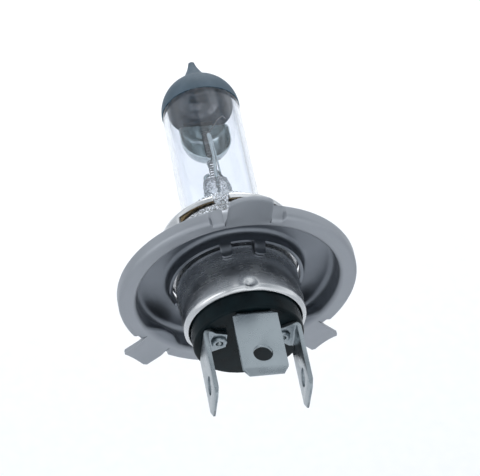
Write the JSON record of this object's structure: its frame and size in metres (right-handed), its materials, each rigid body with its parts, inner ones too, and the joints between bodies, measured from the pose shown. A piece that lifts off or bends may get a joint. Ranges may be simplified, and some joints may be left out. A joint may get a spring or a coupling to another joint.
{
  "type": "headlight bulb",
  "caption": "Twin-filament halogen headlight bulb on a three-lug focusing ring with three flat contact blades.",
  "frame": {"origin": "on the lamp axis, in the plane of the lugs' front faces, which is the plane the bulb seats in", "axes": "+Y along the lamp axis towards the glass tip, +Z towards the wide top lug, +X to the right seen from the contact blades"},
  "size_m": [0.043, 0.0783, 0.0476],
  "materials": {
    "ring_stainless": "pressed stainless steel sheet with a satin surface",
    "shell_nickel_steel": "drawn nickel-plated steel, polished, brighter at the rolled lip",
    "insulator_phenolic": "moulded black phenolic with a semi-gloss surface",
    "contact_tinned_brass": "stamped brass with a satin tin plating",
    "clip_bronze": "spring bronze, bright rolled",
    "envelope_quartz": "clear fused quartz with a faint lavender tint",
    "top_black_paint": "baked matt black heat-proof paint, blue-grey in the light",
    "shield_molybdenum": "deep-drawn molybdenum sheet, polished inside",
    "wire_molybdenum": "drawn molybdenum wire and foil",
    "filament_tungsten": "coiled tungsten wire"
  },
  "bodies": {
    "root": {"focusing_ring": "ring_stainless", "cap_shell": "shell_nickel_steel", "insulator": "insulator_phenolic", "blade_low_beam": "contact_tinned_brass", "blade_high_beam": "contact_tinned_brass", "blade_common": "contact_tinned_brass", "bulb_holder": "shell_nickel_steel", "pinch_clip": "clip_bronze", "glass_envelope": "envelope_quartz", "black_top_coating": "top_black_paint", "glass_bridge": "envelope_quartz", "low_beam_shield": "shield_molybdenum", "eyelet_high_beam": "contact_tinned_brass", "lead_wire_high_beam": "wire_molybdenum", "pinch_foil_high_beam": "wire_molybdenum", "support_wire_high_beam": "wire_molybdenum", "eyelet_low_beam": "contact_tinned_brass", "lead_wire_low_beam": "wire_molybdenum", "pinch_foil_low_beam": "wire_molybdenum", "support_wire_low_beam": "wire_molybdenum", "eyelet_common": "contact_tinned_brass", "lead_wire_common": "wire_molybdenum", "pinch_foil_common": "wire_molybdenum", "support_wire_common": "wire_molybdenum", "high_beam_filament": "filament_tungsten", "low_beam_filament": "filament_tungsten"}
  },
  "joints": []
}
